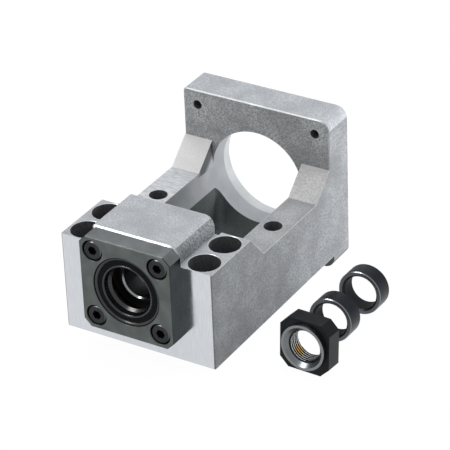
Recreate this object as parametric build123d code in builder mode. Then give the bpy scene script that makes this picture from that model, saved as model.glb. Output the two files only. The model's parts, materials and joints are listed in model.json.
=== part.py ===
from build123d import *
from math import radians, sqrt, tan
import os

# Screw support motor bracket: a cast bracket that holds the fixed end of a ball screw
# in a pair of angular contact bearings and carries a stepper motor in line with it.
# Millimetres. +Z is up from the base plane, the screw axis runs along Y with the cap at
# the -Y end, and the origin is the centre of the four mounting bolts on the base plane.

# Bracket casting, lengths along Y counted from its front face
body_width = 58.5
axis_height = 25.0
flange_height = 36.3
flange_length = 25.0
step_length = 8.0
rail_height = 26.9
rail_length = 36.0
gusset_run = 9.7
gusset_height = 35.6
housing_clearance = 0.9
housing_wall = 4.0
housing_length = 23.1
housing_corner = 3.6
housing_left_corner = 1.2
housing_front_chamfer = 0.7
front_edge_radius = 0.5
plate_thickness = 13.3
plate_corner = 4.2
plate_left_corner = 1.5
plate_edge = 0.45
plate_lip = 0.4
foot_thickness = 11.0
foot_drop = 5.3
channel_clearance = 1.6
window_step = 1.5
window_corner = 2.5

# Holes in the casting
bolt_edge = 6.25
bolt_pitch = 13.0
bolt_inset = 6.0
bolt_hole = 6.6
bolt_counterbore = 11.0
bolt_counterbore_depth = 10.0
hole_break = 0.15
rail_bolt_setback = 31.0
motor_hole_spacing = 47.14
motor_hole = 3.4
motor_hole_depth = 10.0
pilot_diameter = 38.1
pilot_depth = 6.0
pilot_mouth = 0.8

# Bearings, a pair of 12 x 28 x 8 angular contact bearings
journal = 12.0
bearing_outside = 28.0
bearing_width = 8.0
ball_diameter = 4.76
ball_count = 10
ball_clearance = 0.05
groove_ratio = 0.52
inner_shoulder = 2.6
outer_shoulder = 2.55
outer_relief_wall = 1.9
ring_edge = 0.5
inner_ring_setback = 0.05
cage_gap = 0.4
cage_width = 6.4
pocket_clearance = 0.12
shoulder_thickness = 1.0
shoulder_bore = 23.4

# Cap and its screws
cap_width = 35.3
cap_thickness = 6.5
cap_corner = 2.7
cap_edge = 0.3
spigot_clearance = 0.05
cap_lip_bore = 22.0
cap_screw_spacing = 25.0
screw_thread = 4.0
screw_clearance_hole = 4.5
screw_thread_clearance = 0.025
screw_head = 7.0
screw_head_height = 4.0
screw_head_recess = 0.2
screw_head_edge = 0.35
screw_socket = 3.0
screw_socket_depth = 2.0
screw_length = 12.0
screw_tail_room = 1.5
screw_counterbore = 7.7

# Lip seals
seal_outside = 25.5
seal_width = 4.6
seal_recess = 0.4
seal_face_bore = 18.0
seal_lip_bore = 15.8
seal_lip_depth = 3.1
seal_rim = 0.3
seal_rim_width = 0.75
seal_bead = 0.6
seal_web = 1.3
seal_shell = 1.3
seal_spring_wire = 0.9
seal_spring_depth = 3.4
seal_spring_seat = 18.6
seal_lip_chamfer = 1.1
seal_throat = 2.1

# Lock nut with its set screw and brass pad
nut_width = 18.8
nut_corner = 3.2
nut_thickness = 6.2
nut_boss = 16.4
nut_boss_height = 1.4
nut_mouth = 14.6
nut_rear_mouth = 13.0
nut_thread = 12.0
set_screw = 4.0
set_screw_recess = 0.4
set_screw_socket = 2.0
set_screw_socket_depth = 1.5
set_screw_clearance = 0.025
pad_height = 1.5

# Spacer collars
collar_outside = 16.0
collar_length = 6.8
collar_mouth = 0.7
collar_edge = 0.25
collar_bore_clearance = 0.02

# Where the loose pieces lie: out from the casting's side, and back from its front edge
nut_aside = 25.5
nut_back = 14.1
nut_turn = -2.0
collar_aside = 23.23
collar_turn = 1.25
front_collar_back = 35.5
rear_collar_back = 57.1

# Widths and heights that follow
bolt_spacing = body_width - 2 * bolt_edge
housing_width = bolt_spacing - bolt_counterbore - 2 * housing_clearance
housing_height = axis_height + bearing_outside / 2 + housing_wall
channel_width = bolt_spacing - bolt_hole - 2 * channel_clearance
window_width = channel_width - 2 * window_step
plate_height = axis_height + body_width / 2 + foot_drop
inner_land = journal + 2 * inner_shoulder
outer_land = bearing_outside - 2 * outer_shoulder
outer_relief = bearing_outside - 2 * outer_relief_wall
cage_inside = inner_land + 2 * cage_gap
cage_outside = outer_land - 2 * cage_gap

# Stations along Y, all from the front face
front = -(bolt_inset + bolt_pitch / 2)
housing_back = front + housing_length
flange_back = front + flange_length
rail_start = flange_back + step_length
gusset_foot = rail_start + rail_length
plate_front = gusset_foot + gusset_run
plate_back = plate_front + plate_thickness
foot_front = plate_back - foot_thickness
rear_seal_face = housing_back - seal_recess
rear_seal_seat = rear_seal_face - seal_width
shoulder_front = rear_seal_seat - shoulder_thickness
rear_bearing = shoulder_front - bearing_width / 2
front_bearing = rear_bearing - bearing_width
spigot_end = front_bearing - bearing_width / 2
cap_front = front - cap_thickness
front_seal_face = cap_front + seal_recess
cap_lip_front = front_seal_face + seal_width

# The section plane has Y across and the radius from the screw axis upwards
section = Plane(origin=(0, 0, axis_height), x_dir=(0, 1, 0), z_dir=(1, 0, 0))
screw_axis = Axis((0, 0, axis_height), (0, 1, 0))

# The foot hangs below the base, so the bracket rests on its front edge and that foot
floor = Plane(
    origin=(0, front, 0), x_dir=(1, 0, 0), z_dir=(0, foot_drop, foot_front - front)
)


def across(y):
    """Upright plane at a station along Y, seen from the front."""
    return Plane.XZ.offset(-y)


def across_axis(y):
    """Upright plane at a station along Y, centred on the screw axis."""
    return Plane(origin=(0, y, axis_height), x_dir=(1, 0, 0), z_dir=(0, -1, 0))


def standing(aside, back, height, turn=0.0):
    """Upright plane beside the casting, at a height over the floor it rests on."""
    place = Location((body_width / 2 + aside, back, height), (0, 0, turn))
    return Plane(floor.location * place * Plane.XZ.location)


def bore(y_from, y_to, diameter):
    """Cuts a round hole along the screw axis out of the part in hand."""
    with Locations(across_axis(y_from)):
        Cylinder(
            diameter / 2,
            y_to - y_from,
            align=(Align.CENTER, Align.CENTER, Align.MAX),
            mode=Mode.SUBTRACT,
        )


def finish(builder, name):
    """Labels a finished piece and writes it."""
    builder.part.label = name
    export_step(builder.part, f"parts/{name}.step")


os.makedirs("parts", exist_ok=True)

# Bracket body: one casting
with BuildPart() as bracket_body:
    # Flanges, step, rails and gussets in one side profile
    with BuildSketch(Plane.YZ):
        with BuildLine():
            Polyline(
                (front, 0),
                (front, flange_height),
                (flange_back, flange_height),
                (rail_start, rail_height),
                (gusset_foot, rail_height),
                (plate_front, gusset_height),
                (plate_front, 0),
                close=True,
            )
        make_face()
    extrude(amount=body_width / 2, both=True)
    front_corners = bracket_body.edges().filter_by(Axis.Z).group_by(Axis.Y)[0]
    fillet(front_corners, front_edge_radius)

    # Raised bearing housing
    with BuildSketch(across(front)):
        with Locations((0, housing_height / 2)):
            Rectangle(housing_width, housing_height)
    extrude(amount=-housing_length)
    long_edges = bracket_body.edges().filter_by(Axis.Y).group_by(Axis.Z)[-1].sort_by(Axis.X)
    fillet(long_edges[0], housing_left_corner)
    long_edges = bracket_body.edges().filter_by(Axis.Y).group_by(Axis.Z)[-1].sort_by(Axis.X)
    fillet(long_edges[-1], housing_corner)

    # Channel between the rails
    with BuildSketch(across(housing_back)):
        with Locations((0, axis_height + housing_height / 2)):
            Rectangle(channel_width, housing_height)
    extrude(amount=housing_back - plate_front, mode=Mode.SUBTRACT)

    # Motor plate, flush with the sides, as high over the screw axis as it is wide
    with BuildSketch(across(plate_front)) as outline:
        with Locations((0, plate_height / 2 - foot_drop)):
            Rectangle(body_width, plate_height)
        corners = outline.vertices().sort_by(lambda corner: corner.X - corner.Y)
        fillet(corners[1:], plate_corner)
        corners = outline.vertices().sort_by(lambda corner: corner.X - corner.Y)
        fillet(corners[0], plate_left_corner)
    extrude(amount=plate_front - plate_back)
    level_edges = bracket_body.edges().filter_by(Axis.X).group_by(Axis.Z)[-1]
    chamfer(level_edges.sort_by(Axis.Y)[0], plate_lip)
    plate_rim = bracket_body.faces().sort_by(Axis.Y)[-1].outer_wire().edges()
    chamfer(plate_rim, plate_edge)

    # Relief that leaves the plate's foot below the base plane
    with BuildSketch(Plane.XY):
        with Locations((0, (plate_front + foot_front) / 2)):
            Rectangle(body_width, foot_front - plate_front)
    extrude(amount=-foot_drop, mode=Mode.SUBTRACT)

    # Bored trough, window through the base and pilot recess for the motor
    bore(housing_back, plate_back, channel_width)
    bore(plate_back - pilot_depth, plate_back, pilot_diameter)
    mouth = bracket_body.faces().sort_by(Axis.Y)[-1].inner_wires()[0].edges()
    chamfer(mouth, pilot_mouth)
    with BuildSketch(Plane.XY):
        with Locations((0, (housing_back + plate_front) / 2)):
            RectangleRounded(window_width, plate_front - housing_back, window_corner)
    extrude(amount=axis_height, mode=Mode.SUBTRACT)

    # Bearing seat, shoulder and rear seal seat
    bore(front, shoulder_front, bearing_outside)
    bore(shoulder_front, rear_seal_seat, shoulder_bore)
    bore(rear_seal_seat, housing_back, seal_outside)

    # Mounting holes in the flanges and the rails
    with Locations((0, 0, flange_height)):
        with GridLocations(bolt_spacing, bolt_pitch, 2, 2):
            CounterBoreHole(bolt_hole / 2, bolt_counterbore / 2, bolt_counterbore_depth)
    with Locations((0, bolt_pitch / 2 + rail_bolt_setback, rail_height)):
        with GridLocations(bolt_spacing, 1, 2, 1):
            Hole(bolt_hole / 2)

    hole_rims = bracket_body.edges().filter_by(lambda edge: edge.is_closed)
    flange_rims = hole_rims.filter_by_position(Axis.Z, flange_height, flange_height)
    rail_rims = hole_rims.filter_by_position(Axis.Z, rail_height, rail_height)
    chamfer(flange_rims + rail_rims, hole_break)

    # Tapped holes: two of the motor's go through, the cap's are blind
    with BuildSketch(across_axis(plate_back)):
        with GridLocations(motor_hole_spacing, motor_hole_spacing, 2, 2):
            Circle(motor_hole / 2)
    extrude(amount=motor_hole_depth, mode=Mode.SUBTRACT)
    with BuildSketch(across_axis(plate_back)):
        with Locations((0, motor_hole_spacing / 2)):
            with GridLocations(motor_hole_spacing, 1, 2, 1):
                Circle(motor_hole / 2)
    extrude(amount=plate_thickness, mode=Mode.SUBTRACT)
    with BuildSketch(across_axis(front)):
        with GridLocations(cap_screw_spacing, cap_screw_spacing, 2, 2):
            Circle(screw_thread / 2)
    screw_reach = screw_length - (cap_thickness - screw_head_height - screw_head_recess)
    extrude(amount=-(screw_reach + screw_tail_room), mode=Mode.SUBTRACT)

    # Bright bevel along the top of the milled housing front
    front_face = bracket_body.faces().sort_by(Axis.Y)[0]
    chamfer(front_face.edges().sort_by(Axis.Z)[-1], housing_front_chamfer)
finish(bracket_body, "bracket_body")

# Bearing cap: square cover that clamps the outer rings and holds the front seal
with BuildPart() as bearing_cap:
    with BuildSketch(across_axis(cap_front)) as outline:
        Rectangle(cap_width, cap_width)
        chamfer(outline.vertices(), cap_corner)
    extrude(amount=-cap_thickness)
    chamfer(bearing_cap.faces().sort_by(Axis.Y)[0].edges(), cap_edge)
    with BuildSketch(across_axis(front)):
        Circle(bearing_outside / 2 - spigot_clearance)
    extrude(amount=front - spigot_end)
    bore(cap_front, cap_lip_front, seal_outside)
    bore(cap_lip_front, spigot_end, cap_lip_bore)
    with Locations(across_axis(cap_front)):
        with GridLocations(cap_screw_spacing, cap_screw_spacing, 2, 2):
            CounterBoreHole(
                screw_clearance_hole / 2,
                screw_counterbore / 2,
                screw_head_recess + screw_head_height,
                depth=cap_thickness,
            )
    front_rims = bearing_cap.edges().filter_by(GeomType.CIRCLE).group_by(Axis.Y)[0]
    chamfer(front_rims, hole_break)
finish(bearing_cap, "bearing_cap")

# Four M4 socket head screws, the threaded end at its outside diameter
with BuildPart() as cap_screws:
    head_front = cap_front + screw_head_recess
    head_back = head_front + screw_head_height
    with BuildSketch(across_axis(head_front)):
        with GridLocations(cap_screw_spacing, cap_screw_spacing, 2, 2):
            Circle(screw_head / 2)
    extrude(amount=-screw_head_height)
    chamfer(cap_screws.edges().group_by(Axis.Y)[0], screw_head_edge)
    with BuildSketch(across_axis(head_back)):
        with GridLocations(cap_screw_spacing, cap_screw_spacing, 2, 2):
            Circle(screw_thread / 2 - screw_thread_clearance)
    extrude(amount=-screw_length)
    with BuildSketch(across_axis(head_front)):
        with GridLocations(cap_screw_spacing, cap_screw_spacing, 2, 2):
            RegularPolygon(screw_socket / 2, 6, major_radius=False)
    extrude(amount=-screw_socket_depth, mode=Mode.SUBTRACT)
finish(cap_screws, "cap_screws")


def lip_seal(face, inward):
    """Rubber lip seal: inward is +1 where it is pushed in towards +Y, else -1."""
    outside = seal_outside / 2
    opening = seal_face_bore / 2
    lip = seal_lip_bore / 2
    seat = seal_spring_seat / 2
    lip_back = seal_lip_depth + seal_lip_chamfer
    outline = [
        (0, opening + seal_bead),
        (seal_rim, opening + seal_bead + seal_rim),
        (seal_rim, outside - seal_rim_width - seal_rim),
        (0, outside - seal_rim_width),
        (0, outside - seal_rim),
        (seal_rim, outside),
        (seal_width, outside),
        (seal_width, outside - seal_shell),
        (seal_web, outside - seal_shell),
        (seal_web, seat + seal_spring_wire),
        (seal_spring_depth - seal_spring_wire, seat + seal_spring_wire / 2),
        (seal_spring_depth - seal_spring_wire / 2, seat),
        (lip_back, seat),
        (lip_back, lip + seal_lip_chamfer),
        (seal_lip_depth, lip),
        (seal_throat, opening - seal_rim),
        (seal_bead, opening),
    ]
    points = [(face + inward * depth, radius) for depth, radius in outline]
    with BuildPart() as seal:
        with BuildSketch(section):
            with BuildLine():
                Polyline(*points)
                RadiusArc(points[-1], points[0], seal_bead * inward)
            make_face()
        revolve(axis=screw_axis)
    return seal


def garter_spring(face, inward):
    """Closed coil spring round the lip, as the ring that its coils fill."""
    seat = seal_spring_seat / 2
    with BuildPart() as spring:
        with BuildSketch(section):
            with Locations((face + inward * seal_spring_depth, seat + seal_spring_wire / 2)):
                Circle(seal_spring_wire / 2)
        revolve(axis=screw_axis)
    return spring


finish(lip_seal(front_seal_face, 1), "front_seal")
finish(lip_seal(rear_seal_face, -1), "rear_seal")
finish(garter_spring(front_seal_face, 1), "front_seal_spring")
finish(garter_spring(rear_seal_face, -1), "rear_seal_spring")


ball_pitch = (journal + bearing_outside) / 4
ball_groove = ball_diameter * groove_ratio
groove_reach = ball_diameter / 2 + ball_clearance


def outer_ring(middle, open_side):
    """Outer ring with one deep shoulder, and one relieved on its open side."""
    outside = bearing_outside / 2
    half = bearing_width / 2
    with BuildPart() as ring:
        with BuildSketch(section):
            with BuildLine():
                Polyline(
                    (middle - open_side * half, outer_land / 2),
                    (middle - open_side * half, outside - ring_edge),
                    (middle - open_side * (half - ring_edge), outside),
                    (middle + open_side * (half - ring_edge), outside),
                    (middle + open_side * half, outside - ring_edge),
                    (middle + open_side * half, outer_relief / 2),
                    (middle, outer_relief / 2),
                    (middle, outer_land / 2),
                    close=True,
                )
            make_face()
            with Locations((middle, ball_pitch + groove_reach - ball_groove)):
                Circle(ball_groove, mode=Mode.SUBTRACT)
        revolve(axis=screw_axis)
    return ring


def inner_ring(middle):
    """Inner ring with two shoulders, bored for the screw's journal."""
    half = bearing_width / 2 - inner_ring_setback
    with BuildPart() as ring:
        with BuildSketch(section):
            with BuildLine():
                Polyline(
                    (middle - half, journal / 2 + ring_edge),
                    (middle - half + ring_edge, journal / 2),
                    (middle + half - ring_edge, journal / 2),
                    (middle + half, journal / 2 + ring_edge),
                    (middle + half, inner_land / 2),
                    (middle - half, inner_land / 2),
                    close=True,
                )
            make_face()
            with Locations((middle, ball_pitch - groove_reach + ball_groove)):
                Circle(ball_groove, mode=Mode.SUBTRACT)
        revolve(axis=screw_axis)
    return ring


def balls(middle):
    """The ring of balls, each a solid of its own."""
    with BuildPart() as ring:
        with Locations(across_axis(middle)):
            with PolarLocations(ball_pitch, ball_count):
                Sphere(ball_diameter / 2)
    return ring


def cage(middle):
    """Machined cage with a round pocket for each ball."""
    with BuildPart() as ring:
        with Locations(across_axis(middle)):
            Cylinder(cage_outside / 2, cage_width)
            Cylinder(cage_inside / 2, cage_width, mode=Mode.SUBTRACT)
            with PolarLocations(ball_pitch, ball_count):
                Cylinder(
                    ball_diameter / 2 + pocket_clearance,
                    cage_outside,
                    rotation=(0, 90, 0),
                    align=(Align.CENTER, Align.CENTER, Align.CENTER),
                    mode=Mode.SUBTRACT,
                )
    return ring


for end, middle, open_side in (("front", front_bearing, 1), ("rear", rear_bearing, -1)):
    finish(outer_ring(middle, open_side), f"{end}_outer_ring")
    finish(inner_ring(middle), f"{end}_inner_ring")
    finish(balls(middle), f"{end}_balls")
    finish(cage(middle), f"{end}_cage")

# Lock nut: square with cut corners, a turned boss on its bearing side
nut_face = standing(nut_aside, nut_back, nut_width / 2, nut_turn)
nut_facet = (nut_width - nut_corner) / sqrt(2)
nut_middle = nut_face.from_local_coords((0, 0, -nut_thickness / 2))
screw_mouth = nut_face.from_local_coords(
    (-nut_facet / sqrt(2), -nut_facet / sqrt(2), -nut_thickness / 2)
)
screw_plane = Plane(
    origin=screw_mouth, x_dir=nut_face.z_dir, z_dir=screw_mouth - nut_middle
)
set_screw_length = nut_facet - set_screw_recess - pad_height - nut_thread / 2
with BuildPart() as lock_nut:
    with BuildSketch(nut_face) as blank:
        Rectangle(nut_width, nut_width)
        chamfer(blank.vertices(), nut_corner)
    extrude(amount=-nut_thickness)
    with BuildSketch(nut_face):
        Circle(nut_boss / 2)
    extrude(amount=nut_boss_height)
    with Locations(nut_face):
        Cylinder(nut_thread / 2, 4 * nut_thickness, mode=Mode.SUBTRACT)
    mouths = lock_nut.edges().filter_by(GeomType.CIRCLE).group_by(SortBy.RADIUS)[0]
    front_mouth, rear_mouth = mouths.sort_by(Axis.Y)
    chamfer(front_mouth, (nut_mouth - nut_thread) / 2)
    chamfer(rear_mouth, (nut_rear_mouth - nut_thread) / 2)
    with BuildSketch(screw_plane):
        Circle(set_screw / 2)
    extrude(amount=-nut_facet, mode=Mode.SUBTRACT)
finish(lock_nut, "lock_nut")

# Set screw in the nut's lower corner, flush below the cut corner
with BuildPart() as lock_nut_set_screw:
    with BuildSketch(screw_plane.offset(-set_screw_recess)):
        Circle(set_screw / 2 - set_screw_clearance)
    extrude(amount=-set_screw_length)
    with BuildSketch(screw_plane.offset(-set_screw_recess)):
        RegularPolygon(set_screw_socket / 2, 6, major_radius=False)
    extrude(amount=-set_screw_socket_depth, mode=Mode.SUBTRACT)
finish(lock_nut_set_screw, "lock_nut_set_screw")

# Brass pad that the set screw pushes against the journal's thread
with BuildPart() as lock_nut_pad:
    with BuildSketch(screw_plane.offset(-set_screw_recess - set_screw_length)):
        Circle(set_screw / 2 - set_screw_clearance)
    extrude(amount=-2 * pad_height)
    with Locations(nut_face):
        Cylinder(nut_thread / 2, 4 * nut_thickness, mode=Mode.SUBTRACT)
finish(lock_nut_pad, "lock_nut_pad")

# Two spacer collars that run under the seals on the screw's journal
for end, back in (("front", front_collar_back), ("rear", rear_collar_back)):
    aside = collar_aside - (back - front_collar_back) * tan(radians(collar_turn))
    collar_face = standing(aside, back, collar_outside / 2, collar_turn)
    with BuildPart() as collar:
        with BuildSketch(collar_face):
            Circle(collar_outside / 2)
            Circle(journal / 2 + collar_bore_clearance, mode=Mode.SUBTRACT)
        extrude(amount=-collar_length)
        rims = collar.edges().filter_by(GeomType.CIRCLE).group_by(SortBy.RADIUS)
        chamfer(rims[0], collar_mouth)
        rims = collar.edges().filter_by(GeomType.CIRCLE).group_by(SortBy.RADIUS)
        chamfer(rims[-1], collar_edge)
    finish(collar, f"{end}_collar")
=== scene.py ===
import json
import math

import bpy
from mathutils import Matrix, Vector


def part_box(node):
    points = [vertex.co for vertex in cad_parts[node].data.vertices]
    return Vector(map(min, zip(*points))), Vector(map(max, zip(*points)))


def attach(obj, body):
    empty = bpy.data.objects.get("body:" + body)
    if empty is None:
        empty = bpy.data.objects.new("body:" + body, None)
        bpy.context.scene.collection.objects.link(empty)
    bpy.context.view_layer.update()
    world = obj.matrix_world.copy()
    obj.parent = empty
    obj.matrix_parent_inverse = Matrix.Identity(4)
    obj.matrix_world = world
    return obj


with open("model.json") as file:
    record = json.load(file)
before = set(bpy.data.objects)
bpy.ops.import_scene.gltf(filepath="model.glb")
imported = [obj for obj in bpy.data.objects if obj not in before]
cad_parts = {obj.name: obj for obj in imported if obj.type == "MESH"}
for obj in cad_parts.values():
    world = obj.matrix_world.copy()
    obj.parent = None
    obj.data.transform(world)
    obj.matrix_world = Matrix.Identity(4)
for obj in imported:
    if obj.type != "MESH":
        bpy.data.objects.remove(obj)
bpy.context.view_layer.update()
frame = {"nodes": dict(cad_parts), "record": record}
nodes = frame["nodes"]
mounts = {mount["name"]: mount for mount in frame["record"]["mounts"]}
MM = 0.001

# The camera, solved from the photograph's edges
CAMERA_PLACE = (0.40798, -0.60494, 0.47316)
CAMERA_RIGHT = (0.85703, 0.51401, -0.03600)
CAMERA_AHEAD = (-0.45778, 0.72748, -0.51109)
CAMERA_LENS = 205.65
FRAME_PIXELS = 450
SHIFT_PIXELS = (0.25, 0.5)

# Places on the casting, from the frame and from its own sizes
body_low, body_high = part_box("bracket_body")
FRONT = body_low.y
SIDE = body_high.x
TOP = body_high.z
PLATE_BACK = body_high.y
PLATE_FRONT = PLATE_BACK - 13.3 * MM
FOOT_FRONT = PLATE_BACK - 11.0 * MM
PILOT_FLOOR = PLATE_BACK - 6.0 * MM
HOUSING_BACK = FRONT + 23.1 * MM
FLANGE_BACK = FRONT + 25.0 * MM
FLANGE_TOP = 36.3 * MM
RAIL_TOP = 26.9 * MM
GUSSET_TOP = 35.6 * MM
GUSSET_RUN = 9.7 * MM
GUSSET_FOOT = PLATE_FRONT - GUSSET_RUN
TROUGH_RADIUS = 18.1 * MM
SEAT_MOUTH = 14.2 * MM
WINDOW_HALF = 16.6 * MM
COUNTERBORE_RADIUS = 5.5 * MM
AXIS_Z = mounts["motor_pilot"]["pos_m"][2]
PILOT_RADIUS = mounts["motor_pilot"]["dims"]["r_mm"] * MM
BOLT_SIDE = mounts["base_bolts"]["dims"]["spacing_x_mm"] / 2 * MM
BOLT_BACK = mounts["base_bolts"]["dims"]["spacing_y_mm"] / 2 * MM
BOLT_RADIUS = mounts["rail_bolts"]["dims"]["hole_r_mm"] * MM
RAIL_BOLT = mounts["rail_bolts"]["pos_m"][1]
MOTOR_SIDE = mounts["motor_bolts"]["dims"]["spacing_x_mm"] / 2 * MM
MOTOR_RADIUS = mounts["motor_bolts"]["dims"]["hole_r_mm"] * MM

# The gusset's slope: the way that it faces, and how far out it lies that way
GUSSET_NORMAL = Vector((0.0, RAIL_TOP - GUSSET_TOP, GUSSET_RUN)).normalized()
GUSSET_REACH = GUSSET_NORMAL.dot((0.0, GUSSET_FOOT, RAIL_TOP))

# Radii on the small pieces, with the screws' distance from the axis and the start of the nut's boss
BEARING_BORE = mounts["front_bearing_bore"]["dims"]["r_mm"] * MM
BEARING_MOUTH = BEARING_BORE + 0.6 * MM
SEAL_FACE_INSIDE = 9.75 * MM
SEAL_FACE_OUTSIDE = 11.7 * MM
CAP_SCREW_SIDE = 12.5 * MM
SOCKET_RADIUS = 1.75 * MM
COLLAR_BORE = 6.2 * MM
COLLAR_BEVEL = 7.6 * MM
NUT_BORE = 6.1 * MM
NUT_MOUTH = 7.4 * MM
NUT_BOSS = 8.3 * MM
NUT_BOSS_START = 1.5 * MM

# The lock nut's thread
THREAD_PITCH = 1.0 * MM
THREAD_DEPTH = 0.56 * MM
THREAD_STEPS = 72
THREAD_LEAD = 12
THREAD_ROOT_HALF = 0.46
THREAD_CREST_HALF = 0.13
PAD_RADIUS = 1.9 * MM

# How far from a face, a hole's edge or an outer edge a place still belongs to it
CLOSE = 0.05 * MM
INSIDE = 0.1 * MM
HOLE_EDGE = 0.3 * MM
OUTER_EDGE = 0.6 * MM
NEAR = 1.0 * MM

ALUMINIUM = (0.60, 0.63, 0.67)
# Near white for bare chamfers and edges, also standing in for a painted edge highlight
BARE_EDGE_AND_HIGHLIGHT = (0.95, 0.96, 0.97)


def scaled(colour, share):
    """A colour made darker or lighter by a share, and never past white."""
    return tuple(min(1.0, value * share) for value in colour)


class Tree:
    """A node tree, with short calls for the nodes that are used here."""

    def __init__(self, tree):
        self.tree = tree

    def add(self, kind, **settings):
        node = self.tree.nodes.new(kind)
        for name, value in settings.items():
            setattr(node, name, value)
        return node

    def join(self, source, target):
        self.tree.links.new(source, target)

    def combine(self, operation, *values):
        """A number worked out from some, each a plain number or another node's."""
        node = self.add("ShaderNodeMath", operation=operation)
        for socket, value in zip(node.inputs, values):
            if isinstance(value, float):
                socket.default_value = value
            else:
                self.join(value, socket)
        return node.outputs["Value"]

    def span(self, source, low, high, to_low=0.0, to_high=1.0):
        """A value taken from one span to another, and held at its ends."""
        node = self.add("ShaderNodeMapRange")
        ends = {"From Min": low, "From Max": high, "To Min": to_low, "To Max": to_high}
        for name, value in ends.items():
            node.inputs[name].default_value = value
        self.join(source, node.inputs["Value"])
        return node.outputs["Result"]


class Shader(Tree):
    """A material's node tree."""

    def __init__(self, name, **values):
        self.material = bpy.data.materials.new(name)
        self.material.use_nodes = True
        super().__init__(self.material.node_tree)
        self.surface = self.tree.nodes["Principled BSDF"]
        self.place = self.add("ShaderNodeTexCoord").outputs["Object"]
        for socket, value in values.items():
            self.surface.inputs[socket.replace("_", " ")].default_value = value

    def stretched(self, scale):
        """The object's coordinates, stretched along its axes."""
        mapping = self.add("ShaderNodeMapping")
        mapping.inputs["Scale"].default_value = scale
        self.join(self.place, mapping.inputs["Vector"])
        return mapping.outputs["Vector"]

    def noise(self, size, detail=2.0, roughness=0.5, place=None):
        """Noise with features of about that size, in metres."""
        node = self.add("ShaderNodeTexNoise")
        node.inputs["Scale"].default_value = 1 / size
        node.inputs["Detail"].default_value = detail
        node.inputs["Roughness"].default_value = roughness
        self.join(place or self.place, node.inputs["Vector"])
        return node.outputs["Fac"]

    def blend(self, factor, first, second):
        """A colour between two, each a colour or another node's."""
        node = self.add("ShaderNodeMix", data_type="RGBA")
        self.join(factor, node.inputs["Factor"])
        for name, colour in (("A", first), ("B", second)):
            socket = [s for s in node.inputs if s.name == name and s.type == "RGBA"][0]
            if isinstance(colour, tuple):
                socket.default_value = (*colour, 1.0)
            else:
                self.join(colour, socket)
        return [s for s in node.outputs if s.type == "RGBA"][0]

    def dot(self, first, second):
        """How far a vector reaches along another, which is a plain one or another node's."""
        node = self.add("ShaderNodeVectorMath", operation="DOT_PRODUCT")
        self.join(first, node.inputs[0])
        if isinstance(second, Vector):
            node.inputs[1].default_value = second
        else:
            self.join(second, node.inputs[1])
        return node.outputs["Value"]

    def bump(self, height, depth):
        """A bump of that depth, in metres."""
        node = self.add("ShaderNodeBump")
        node.inputs["Strength"].default_value = 1.0
        node.inputs["Distance"].default_value = depth
        self.join(height, node.inputs["Height"])
        return node.outputs["Normal"]

    def highlight_rim(self, width):
        """How near a place is to a sharp edge, convex or hollow, from 0 to 1, within that width in metres;
        it masks the painted edge highlight.
        """
        rounded = self.add("ShaderNodeBevel", samples=6)
        rounded.inputs["Radius"].default_value = width
        flat = self.add("ShaderNodeNewGeometry")
        agreement = self.dot(rounded.outputs["Normal"], flat.outputs["Normal"])
        return self.span(agreement, 0.8, 0.98, 1.0, 0.0)

    def finish(self, colour, normal, roughness=None):
        """Joins what varies over the surface to it, and gives the material."""
        for name, source in (("Base Color", colour), ("Roughness", roughness), ("Normal", normal)):
            if source is not None:
                self.join(source, self.surface.inputs[name])
        return self.material


def blasted(
    name, colour, metallic=0.05, roughness=0.55, grain=0.8, speckle=0.09, depth=0.03, cloud=0.12, wear_and_highlight=False
):
    """Bead-blasted or cast metal: a fine grain with cloudy patches, and, when asked, edges blended towards
    near white, hollow ones too, as bare edges and as a painted highlight.
    """
    shader = Shader(name, Metallic=metallic, Specular_IOR_Level=0.3)
    fine = shader.noise(grain * MM, detail=3.0, roughness=0.7)
    cloudy = shader.noise(9.0 * MM)
    dark = scaled(colour, 1 - 2 * speckle)
    light = scaled(colour, 1 + 1.6 * speckle)
    grainy = shader.blend(shader.span(fine, 0.37, 0.63), dark, light)
    patchy = shader.blend(shader.span(cloudy, 0.35, 0.65, 0.0, 0.5), grainy, scaled(dark, 1 - 2 * cloud))
    # Painted highlight: edges, hollow ones too, blended towards near white
    if wear_and_highlight:
        patchy = shader.blend(shader.highlight_rim(0.3 * MM), patchy, BARE_EDGE_AND_HIGHLIGHT)
    rough = shader.span(fine, 0.3, 0.7, roughness - 0.08, roughness + 0.08)
    return shader.finish(patchy, shader.bump(fine, depth * MM), rough)


def painted_shade_wall(name, light, dark):
    """The wall beside the bored trough: rough cast, with painted shade that darkens it close to the
    gusset's slope, from the gusset's foot back.
    """
    shader = Shader(name, Metallic=0.05, Specular_IOR_Level=0.3, Roughness=0.55)
    fine = shader.noise(0.6 * MM, detail=3.0, roughness=0.7)
    # Painted shade: darker close to the gusset's slope, from the gusset's foot back
    to_slope = shader.dot(shader.place, GUSSET_NORMAL)
    slope_shade = shader.span(to_slope, GUSSET_REACH - 5.4 * MM, GUSSET_REACH - 3.4 * MM)
    back = shader.dot(shader.place, Vector((0.0, 1.0, 0.0)))
    foot_shade = shader.span(back, GUSSET_FOOT - 1.5 * MM, GUSSET_FOOT + 1.5 * MM)
    tint = shader.blend(shader.combine("MULTIPLY", slope_shade, foot_shade), light, dark)
    return shader.finish(tint, shader.bump(fine, 0.03 * MM))


def machined(name, colour, roughness=0.3, lay=(1.0, 1.0, 1.0), depth=0.004, metallic=1.0, mark=0.93):
    """Milled, turned or ground metal: fine marks along one direction."""
    shader = Shader(name, Metallic=metallic)
    marks = shader.noise(0.5 * MM, place=shader.stretched(lay))
    cloudy = shader.noise(12.0 * MM, detail=1.0)
    tint = shader.blend(shader.span(marks, 0.35, 0.65), scaled(colour, mark), colour)
    rough = shader.span(cloudy, 0.3, 0.7, roughness - 0.04, roughness + 0.05)
    return shader.finish(tint, shader.bump(marks, depth * MM), rough)


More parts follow.
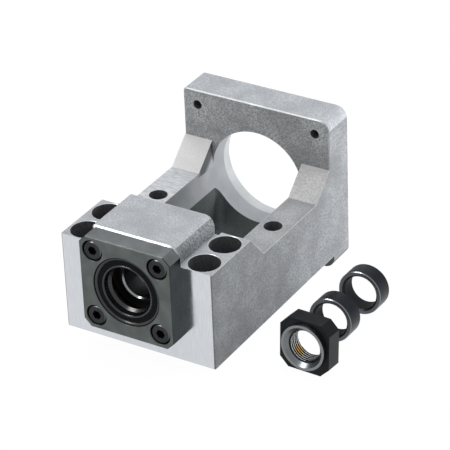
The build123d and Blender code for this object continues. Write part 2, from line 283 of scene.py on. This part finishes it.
def oxide(name, colour, roughness=0.35, metallic=0.85):
    """Black oxide over machined steel: a thin dark skin with faint cloudy patches."""
    shader = Shader(name, Metallic=metallic, Specular_IOR_Level=0.2)
    fine = shader.noise(0.35 * MM)
    cloudy = shader.noise(5.0 * MM)
    tint = shader.blend(shader.span(cloudy, 0.35, 0.7), colour, scaled(colour, 1.35))
    rough = shader.span(fine, 0.3, 0.7, roughness - 0.05, roughness + 0.07)
    return shader.finish(tint, shader.bump(fine, 0.004 * MM), rough)


def rubber(name, colour, sheen=0.15, roughness=0.3):
    """Moulded rubber with a soft sheen."""
    shader = Shader(name, Metallic=0.0, Specular_IOR_Level=sheen)
    fine = shader.noise(0.5 * MM, detail=3.0)
    tint = shader.blend(shader.span(fine, 0.35, 0.7), colour, scaled(colour, 1.6))
    rough = shader.span(fine, 0.3, 0.7, roughness, roughness + 0.15)
    return shader.finish(tint, shader.bump(fine, 0.012 * MM), rough)


def paint(node, materials, choose):
    """Gives each face of a CAD node the material that choose(middle, normal) names."""
    mesh = nodes[node].data
    mesh.materials.clear()
    order = list(materials)
    for name in order:
        mesh.materials.append(materials[name])
    for face in mesh.polygons:
        face.material_index = order.index(choose(face.center, face.normal))


def plain(node, material):
    """Gives a whole CAD node one material."""
    paint(node, {"all": material}, lambda middle, normal: "all")


def edge_region(middle, normal):
    """The material of an outer edge of the casting, or None elsewhere: chamfers near white as bare metal
    and a painted highlight, and the front corner rounds and lower outer edges painted darker as shade.
    """
    x, y, z = middle
    # Bare chamfers, near white as bare metal and as a painted highlight
    if normal.y < -0.3 and normal.z > 0.3:
        if y < FRONT + NEAR:
            return "bright_edge_painted_highlight"
        if z > TOP - NEAR:
            return "rough_edge_painted_highlight"
    # Painted shade: the front corner rounds and lower outer edges are darker copies
    if abs(x) > SIDE - OUTER_EDGE:
        if y < FRONT + OUTER_EDGE and normal.y > -0.98 and abs(normal.x) < 0.98:
            return "side"
        if -0.95 < normal.z < -0.2:
            return "under_edge_painted_shade"
    return None


def hole_region(middle, normal):
    """The material of bolt holes and their edges, or None elsewhere: the rims near white with a painted
    highlight, and the holes themselves painted dark as shade.
    """
    x, y, z = middle
    from_counterbore = math.hypot(abs(x) - BOLT_SIDE, abs(y) - BOLT_BACK)
    from_rail_bolt = math.hypot(abs(x) - BOLT_SIDE, y - RAIL_BOLT)
    from_motor_bolt = math.hypot(abs(x) - MOTOR_SIDE, abs(z - AXIS_Z) - MOTOR_SIDE)
    # Hole rims, near white as bare metal and as a painted highlight
    if 0.3 < normal.z < 0.95:
        if from_counterbore < COUNTERBORE_RADIUS + HOLE_EDGE and y < FLANGE_BACK:
            return "bright_edge_painted_highlight"
        if from_rail_bolt < BOLT_RADIUS + HOLE_EDGE:
            return "bright_edge_painted_highlight"
    # Painted shade: the bolt holes are painted dark inside
    if CLOSE < z < FLANGE_TOP - INSIDE and y < FLANGE_BACK:
        if from_counterbore < COUNTERBORE_RADIUS + CLOSE:
            return "hole_painted_shade"
    if CLOSE < z < RAIL_TOP - INSIDE and from_rail_bolt < BOLT_RADIUS + CLOSE:
        return "hole_painted_shade"
    if y > PLATE_FRONT + CLOSE and from_motor_bolt < MOTOR_RADIUS + CLOSE:
        return "tapped_painted_shade"
    return None


def bore_region(middle, normal):
    """The material of the trough, the motor's pilot and the bearing seat, or None elsewhere; the trough's
    upright wall beside the gusset gets painted shade.
    """
    x, y, z = middle
    outward = Vector((x, 0.0, z - AXIS_Z))
    # Painted shade on the trough's upright wall beside the gusset
    if HOUSING_BACK < y < PLATE_FRONT and abs(x) < TROUGH_RADIUS + CLOSE:
        if abs(normal.x) > 0.9 and z > AXIS_Z + NEAR:
            return "trough_side_painted_shade"
    if y > HOUSING_BACK + CLOSE and outward.length < PILOT_RADIUS + CLOSE:
        if normal.dot(outward.normalized()) < -0.9 or (y > PLATE_FRONT and normal.y > 0.9):
            return "bored" if y < PILOT_FLOOR + CLOSE else "pilot"
    if y < HOUSING_BACK + CLOSE and outward.length < SEAT_MOUTH:
        return "bored"
    return None


def wall_region(middle, normal):
    """The material of a wall or a top of the casting, or None elsewhere; the pocket below the trough, the
    foot's front, the flat sides, the housing's sides and the right rail top get painted shade, and the
    gusset tops painted light.
    """
    x, y, z = middle
    in_window = abs(x) < WINDOW_HALF + CLOSE and z < AXIS_Z
    if normal.z < -0.9 or (normal.y < -0.5 and y < FRONT + NEAR):
        return "milled"
    if normal.y > 0.9 and y > PLATE_BACK - NEAR:
        return "milled"
    # Painted shade: the pocket's walls, the wall at its back below the trough and the foot's front are
    # painted near black
    if in_window and abs(normal.z) < 0.1 and HOUSING_BACK - CLOSE < y < PLATE_FRONT - CLOSE:
        return "window_painted_shade"
    if normal.y < -0.9 and y > PLATE_FRONT - CLOSE:
        below_trough = in_window and math.hypot(x, z - AXIS_Z) > TROUGH_RADIUS
        return "window_painted_shade" if below_trough or z < CLOSE else "plate_front"
    # Painted shade: the flat sides are a darker copy of the aluminium
    if abs(normal.x) > 0.95 and abs(x) > SIDE - CLOSE:
        return "side"
    # Painted light: the gusset tops are painted near white, lighter than the aluminium
    if 0.3 < normal.z < 0.95 and y > GUSSET_FOOT and z < FLANGE_TOP:
        return "gusset_left_painted_light" if x < 0 else "gusset"
    # Painted shade on the housing's sides
    if abs(normal.x) > 0.7 and y < HOUSING_BACK and z > FLANGE_TOP:
        return "housing_side_painted_shade"
    # The right rail top gets painted shade
    if normal.z > 0.95 and abs(z - RAIL_TOP) < CLOSE:
        return "rail" if x < 0 else "rail_right_painted_shade"
    return None


def casting_region(middle, normal):
    """The finish of a place on the casting."""
    for region in (edge_region, hole_region, bore_region, wall_region):
        finish = region(middle, normal)
        if finish:
            return finish
    return "blasted"


def cap_region(middle, normal):
    """The material of a place on the cap: one black oxide, painted darker as shade on its chamfers, sides
    and underside, and lighter on its top as painted light.
    """
    if -0.9 < normal.y < -0.4:
        return "edge"
    if normal.z > 0.5:
        return "top"
    return "side" if abs(normal.x) > 0.5 or normal.z < -0.5 else "front"


def seal_region(middle, normal):
    """The finish of a place on a seal: its bead and lip are glossy."""
    out = math.hypot(middle.x, middle.z - AXIS_Z)
    return "face" if SEAL_FACE_INSIDE < out < SEAL_FACE_OUTSIDE else "lip"


def ring_region(middle, normal):
    """The material of a place on an inner ring: its ground steel is painted dark as shade on its sides and
    in its bore, and lighter on the bore's chamfer as a painted highlight.
    """
    if math.hypot(middle.x, middle.z - AXIS_Z) > BEARING_MOUTH:
        return "side"
    return "mouth" if -0.95 < normal.y < -0.3 else "bore"


def screw_region(middle, normal):
    """The material of a place on the cap's screws: a lighter chamfer as a painted highlight and a darker
    socket as painted shade.
    """
    if -0.95 < normal.y < -0.3:
        return "edge"
    from_screw = math.hypot(abs(middle.x) - CAP_SCREW_SIDE, abs(middle.z - AXIS_Z) - CAP_SCREW_SIDE)
    return "socket" if from_screw < SOCKET_RADIUS else "head"


def from_mount(name, place):
    """How far a place lies along a round mount's axis and out from it, and that axis."""
    axis = Vector(mounts[name]["axis"]).normalized()
    offset = Vector(place) - Vector(mounts[name]["pos_m"])
    along = offset.dot(axis)
    return along, (offset - along * axis).length, axis


def collar_region(name):
    """Chooses the material of a place on a collar, whose front is turned away from its mount's axis: one
    oxide, lighter on its front face as painted light, lighter still on the outer chamfer as a painted
    highlight, and darkest in the bore as painted shade.
    """

    def choose(middle, normal):
        along, out, axis = from_mount(name, middle)
        facing = -normal.dot(axis)
        if out > COLLAR_BEVEL and 0.3 < abs(facing) < 0.95:
            return "bright"
        if out < COLLAR_BORE:
            return "bore"
        return "face" if facing > 0.95 else "side"

    return choose


def nut_region(middle, normal):
    """The finish of a place on the lock nut: its boss and its mouths are turned bright."""
    along, out, axis = from_mount("lock_nut_thread", middle)
    if out < NUT_MOUTH and 0.3 < abs(normal.dot(axis)) < 0.95:
        return "mouth"
    if out < NUT_BORE:
        return "thread"
    return "turned" if out < NUT_BOSS and along > NUT_BOSS_START else "oxide"


def thread_mesh(middle, axis, root, length):
    """A right-hand ridge that winds along a bore and fades out at both ends."""
    first = axis.orthogonal().normalized()
    second = axis.cross(first)
    turns = (length + 0.5 * MM) / THREAD_PITCH - 1
    last = int(turns * THREAD_STEPS)
    corners, faces = [], []
    for i in range(last + 1):
        angle = 2 * math.pi * i / THREAD_STEPS
        out = math.cos(angle) * first + math.sin(angle) * second
        along = THREAD_PITCH * (i / THREAD_STEPS - turns / 2)
        height = min(1.0, i / THREAD_LEAD, (last - i) / THREAD_LEAD)
        crest = root - THREAD_DEPTH * max(height, 0.05)
        for share, radius in (
            (-THREAD_ROOT_HALF, root),
            (-THREAD_CREST_HALF, crest),
            (THREAD_CREST_HALF, crest),
            (THREAD_ROOT_HALF, root),
        ):
            corners.append(middle + radius * out + (along + share * THREAD_PITCH) * axis)
        if i:
            a, b = 4 * (i - 1), 4 * i
            faces += [(a + j, a + (j + 1) % 4, b + (j + 1) % 4, b + j) for j in range(4)]
    faces += [(3, 2, 1, 0), tuple(4 * last + j for j in range(4))]
    mesh = bpy.data.meshes.new("lock_nut_thread")
    mesh.from_pydata(corners, [], faces)
    return mesh


def thread_ridge(root_steel, crest_painted_highlight, root_brass_painted_shade, crest_brass):
    """The lock nut's thread, which is brass where it crosses the set screw's pad; its crests are painted
    light as a highlight, and the brass between the crests is painted dark as shade.
    """
    mount = mounts["lock_nut_thread"]
    middle = Vector(mount["pos_m"])
    axis = Vector(mount["axis"]).normalized()
    root = mount["dims"]["r_mm"] * MM + 0.02 * MM
    mesh = thread_mesh(middle, axis, root, mount["dims"]["length_mm"] * MM)
    for material in (root_steel, crest_painted_highlight, root_brass_painted_shade, crest_brass):
        mesh.materials.append(material)
    pad_low, pad_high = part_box("lock_nut_pad")
    to_pad = (pad_low + pad_high) / 2 - middle
    pad_along = to_pad.dot(axis)
    towards_pad = (to_pad - pad_along * axis).normalized()
    for face in mesh.polygons:
        along, out, axis = from_mount("lock_nut_thread", face.center)
        away = face.center - middle - along * axis
        side = (away - away.dot(towards_pad) * towards_pad).length
        at_pad = away.dot(towards_pad) > 0 and math.hypot(along - pad_along, side) < PAD_RADIUS
        at_crest = out < root - THREAD_DEPTH + CLOSE
        face.material_index = 2 * at_pad + at_crest
    ridge = bpy.data.objects.new("lock_nut_thread", mesh)
    bpy.context.scene.collection.objects.link(ridge)
    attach(ridge, "housing")


# The casting
casting = {
    # The blasted aluminium, its edges near white as bare metal and as a painted highlight
    "blasted": blasted("casting_blasted", ALUMINIUM, grain=0.55, speckle=0.13, cloud=0.06, wear_and_highlight=True),
    # Painted shade: darker copies of the aluminium for the flat sides and the lower outer edges
    "side": blasted("casting_side_painted_shade", (0.36, 0.375, 0.395), grain=0.5, speckle=0.2, cloud=0.06, wear_and_highlight=True),
    "under_edge_painted_shade": blasted("casting_under_edge_painted_shade", (0.27, 0.28, 0.30), grain=0.5, speckle=0.1),
    "milled": machined("casting_milled", (0.64, 0.66, 0.69), roughness=0.15, lay=(1.0, 1.0, 0.1)),
    "bored": blasted("casting_bored", (0.46, 0.475, 0.50), metallic=0.2, roughness=0.5, speckle=0.02),
    "pilot": blasted("casting_pilot", (0.66, 0.68, 0.70), metallic=0.2, roughness=0.5, speckle=0.02),
    "plate_front": blasted("casting_plate_front", (0.66, 0.68, 0.70), speckle=0.22, grain=0.55),
    # Painted light: near white gusset tops, lit copies of the aluminium
    "gusset": blasted("casting_gusset_painted_light", (1.0, 0.985, 0.98), speckle=0.2, grain=0.7, depth=0.06, cloud=0.05),
    "gusset_left_painted_light": blasted("casting_gusset_left_painted_light", (1.0, 0.99, 0.99), speckle=0.05, grain=0.7, cloud=0.05),
    # Painted shade on the wall beside the trough
    "trough_side_painted_shade": painted_shade_wall("casting_trough_side_painted_shade", (0.46, 0.475, 0.50), (0.11, 0.115, 0.12)),
    # Painted shade: a darker copy of the aluminium for the housing's sides
    "housing_side_painted_shade": blasted("casting_housing_side_painted_shade", (0.35, 0.365, 0.38), grain=0.6, speckle=0.28),
    "rail": machined(
        "casting_rail", (0.72, 0.74, 0.77), roughness=0.5, lay=(0.15, 1.2, 1.0),
        depth=0.02, metallic=0.4, mark=0.66,
    ),
    # Painted shade: the right rail top, one surface with the left, is painted darker, with a blasted grain
    "rail_right_painted_shade": blasted("casting_rail_right_painted_shade", (0.48, 0.49, 0.51), grain=0.6, speckle=0.13, wear_and_highlight=True),
    # Painted shade: near black for the pocket below the trough and the foot's front
    "window_painted_shade": blasted("casting_window_painted_shade", (0.12, 0.14, 0.14), metallic=0.1),
    # Painted shade: the counterbores, rail bolt holes and motor holes are painted near black inside
    "hole_painted_shade": blasted(
        "casting_hole_painted_shade", (0.17, 0.18, 0.195), metallic=0.0, roughness=0.7, grain=0.6, speckle=0.2
    ),
    "tapped_painted_shade": blasted("casting_tapped_painted_shade", (0.12, 0.13, 0.14), metallic=0.0, roughness=0.7),
    # Near white chamfers and hole rims: bare metal and a painted highlight
    "bright_edge_painted_highlight": blasted(
        "casting_bright_edge_painted_highlight", BARE_EDGE_AND_HIGHLIGHT, metallic=0.3, roughness=0.36, speckle=0.03
    ),
    "rough_edge_painted_highlight": blasted(
        "casting_rough_edge_painted_highlight", BARE_EDGE_AND_HIGHLIGHT, metallic=0.15, roughness=0.45, speckle=0.2
    ),
}
paint("bracket_body", casting, casting_region)

# The cap and its screws
# Lit and shaded copies of one oxide: painted shade on the chamfers and sides, painted light on the top
cap = {
    "front": oxide("cap_oxide", (0.10, 0.112, 0.11), roughness=0.34),
    "edge": oxide("cap_edge_painted_shade", (0.045, 0.05, 0.05), roughness=0.36),
    "top": oxide("cap_top_painted_light", (0.13, 0.14, 0.145), roughness=0.36),
    "side": oxide("cap_side_painted_shade", (0.038, 0.044, 0.045), roughness=0.3),
}
screw_steel = oxide("screw_oxide", (0.03, 0.031, 0.034), roughness=0.3)
# A lighter chamfer as a painted highlight, and a darker socket as painted shade
screws = {
    "head": screw_steel,
    "edge": machined("screw_edge_painted_highlight", (0.13, 0.135, 0.14), roughness=0.28),
    "socket": oxide("screw_socket_painted_shade", (0.012, 0.012, 0.013), roughness=0.5),
}
paint("bearing_cap", cap, cap_region)
paint("cap_screws", screws, screw_region)

# The seals and the bearings
seal = {
    "face": rubber("seal_rubber", (0.003, 0.005, 0.006), sheen=0.06, roughness=0.4),
    "lip": rubber("lip_rubber", (0.004, 0.005, 0.006), sheen=0.6, roughness=0.2),
}
# Painted shade and highlight: the rings' steel is painted near black, the outer rings too, and the bore's
# chamfer lighter
inner_ring = {
    "bore": machined("ring_bore_painted_shade", (0.08, 0.082, 0.086), roughness=0.3),
    "mouth": machined("ring_mouth_painted_highlight", (0.26, 0.265, 0.27), roughness=0.2),
    "side": machined("ring_side_painted_shade", (0.05, 0.05, 0.053), roughness=0.4),
}
spring_steel = machined("spring_wire", (0.45, 0.46, 0.47), roughness=0.3)
ball_steel = machined("ball_polished", (0.6, 0.61, 0.62), roughness=0.12)
cage_resin = blasted("cage_resin", (0.03, 0.022, 0.016), metallic=0.0, roughness=0.5)
for end in ("front", "rear"):
    paint(f"{end}_seal", seal, seal_region)
    paint(f"{end}_inner_ring", inner_ring, ring_region)
    plain(f"{end}_seal_spring", spring_steel)
    plain(f"{end}_outer_ring", inner_ring["side"])
    plain(f"{end}_balls", ball_steel)
    plain(f"{end}_cage", cage_resin)

# The collars
# Painted light and shade on one oxide: lighter front face and chamfer, darker bore
collar = {
    "side": oxide("collar_oxide", (0.014, 0.017, 0.021), roughness=0.34),
    "face": oxide("collar_face_painted_light", (0.085, 0.09, 0.095), roughness=0.3),
    "bright": machined("collar_edge_painted_highlight", (0.22, 0.225, 0.24), roughness=0.25),
    "bore": oxide("collar_bore_painted_shade", (0.006, 0.007, 0.008), roughness=0.6, metallic=0.2),
}
for end in ("front", "rear"):
    paint(f"{end}_collar", collar, collar_region(f"{end}_collar_bore"))

# The lock nut with its set screw, pad and thread
nut = {
    "oxide": oxide("nut_oxide", (0.012, 0.014, 0.016), roughness=0.36),
    "turned": machined("nut_turned", (0.22, 0.225, 0.235), roughness=0.25),
    "mouth": machined("nut_mouth", (0.17, 0.18, 0.19), roughness=0.28),
    "thread": machined("nut_thread", (0.02, 0.021, 0.022), roughness=0.4),
}
# Painted highlight on the thread's crests, and painted shade on the brass between them
nut_crest_painted_highlight = machined("nut_crest_painted_highlight", (0.85, 0.87, 0.9), roughness=0.35, metallic=0.3)
brass = machined("pad_brass", (0.95, 0.62, 0.2), roughness=0.35, metallic=0.3)
brass_root_painted_shade = machined("pad_brass_root_painted_shade", (0.07, 0.035, 0.012), roughness=0.4)
paint("lock_nut", nut, nut_region)
plain("lock_nut_set_screw", screw_steel)
plain("lock_nut_pad", brass)
thread_ridge(nut["thread"], nut_crest_painted_highlight, brass_root_painted_shade, brass)

# The floor passes under the casting's front edge and the front of its foot
FLOOR_REACH = 3.0
FLOOR_GAP = 0.02 * MM
slope = math.atan2(-body_low.z, FOOT_FRONT - FRONT)
floor_mesh = bpy.data.meshes.new("floor")
floor_mesh.from_pydata(
    [(x * FLOOR_REACH, y * FLOOR_REACH, 0) for x, y in ((-1, -1), (1, -1), (1, 1), (-1, 1))],
    [],
    [(0, 1, 2, 3)],
)
floor = bpy.data.objects.new("floor", floor_mesh)
bpy.context.scene.collection.objects.link(floor)
floor.matrix_world = Matrix.Translation((0, FRONT, -FLOOR_GAP)) @ Matrix.Rotation(-slope, 4, "X")

# The floor's material: matt, and nearly white of itself to the camera and in reflections
FLOOR_GLOW = 1.05
FLOOR_GLOW_SHARE = 0.92
shader = Shader("floor", Base_Color=(0.82, 0.82, 0.82, 1), Roughness=0.9)
glow = shader.add("ShaderNodeEmission")
glow.inputs["Strength"].default_value = FLOOR_GLOW
ray = shader.add("ShaderNodeLightPath").outputs
seen = shader.combine("MAXIMUM", ray["Is Camera Ray"], ray["Is Glossy Ray"])
mix = shader.add("ShaderNodeMixShader")
shader.join(shader.combine("MULTIPLY", seen, FLOOR_GLOW_SHARE), mix.inputs["Fac"])
shader.join(shader.surface.outputs["BSDF"], mix.inputs[1])
shader.join(glow.outputs["Emission"], mix.inputs[2])
shader.join(mix.outputs["Shader"], shader.tree.nodes["Material Output"].inputs["Surface"])
floor_mesh.materials.append(shader.material)

# The world: white to the camera, duller in reflections and a plain level as light
WORLD_LIGHT = 0.34
WORLD_IN_REFLECTIONS = 0.75
world = bpy.data.worlds.new("studio")
bpy.context.scene.world = world
world.use_nodes = True
sky = Tree(world.node_tree)
background = sky.tree.nodes["Background"]
background.inputs["Color"].default_value = (1, 1, 1, 1)
ray = sky.add("ShaderNodeLightPath").outputs
reflected = sky.combine("MULTIPLY", ray["Is Glossy Ray"], WORLD_IN_REFLECTIONS)
white = sky.combine("MAXIMUM", ray["Is Camera Ray"], reflected)
sky.join(sky.span(white, 0.0, 1.0, WORLD_LIGHT, 1.0), background.inputs["Strength"])


def lamp(name, place, aim, size, power, glossy=True, diffuse=True):
    """A square area light at a place, turned towards another, for gloss, matt light or both."""
    light = bpy.data.lights.new(name, "AREA")
    light.shape = "SQUARE"
    light.size = size
    light.energy = power
    holder = bpy.data.objects.new(name, light)
    bpy.context.scene.collection.objects.link(holder)
    holder.location = place
    holder.rotation_euler = (Vector(aim) - Vector(place)).to_track_quat("-Z", "Y").to_euler()
    holder.visible_glossy = glossy
    holder.visible_diffuse = diffuse


lamp("lamp_top", (-0.15, 0.25, 0.9), (0, 0.03, 0.02), 0.7, 3.9)
lamp("lamp_side", (0.16, 0.2, 0.07), (0.03, 0.07, 0.02), 0.1, 0.24, glossy=False)
lamp("lamp_low", (0.16, 0.17, 0.01), (0.029, 0.07, 0.005), 0.06, 0.11, glossy=False)
lamp("lamp_glint", (-0.46, -0.38, 0.80), (0, 0, 0.03), 0.4, 6.0, diffuse=False)

# The camera
camera = bpy.data.objects.new("camera", bpy.data.cameras.new("camera"))
bpy.context.scene.collection.objects.link(camera)
right = Vector(CAMERA_RIGHT).normalized()
ahead = Vector(CAMERA_AHEAD).normalized()
turn = Matrix((right, right.cross(ahead), -ahead)).transposed().to_4x4()
camera.matrix_world = Matrix.Translation(CAMERA_PLACE) @ turn
camera.data.lens = CAMERA_LENS
camera.data.sensor_width = 36.0
camera.data.sensor_fit = "HORIZONTAL"
camera.data.clip_end = 10.0
camera.data.shift_x = SHIFT_PIXELS[0] / FRAME_PIXELS
camera.data.shift_y = SHIFT_PIXELS[1] / FRAME_PIXELS
bpy.context.scene.camera = camera
bpy.context.scene.view_settings.view_transform = "Standard"
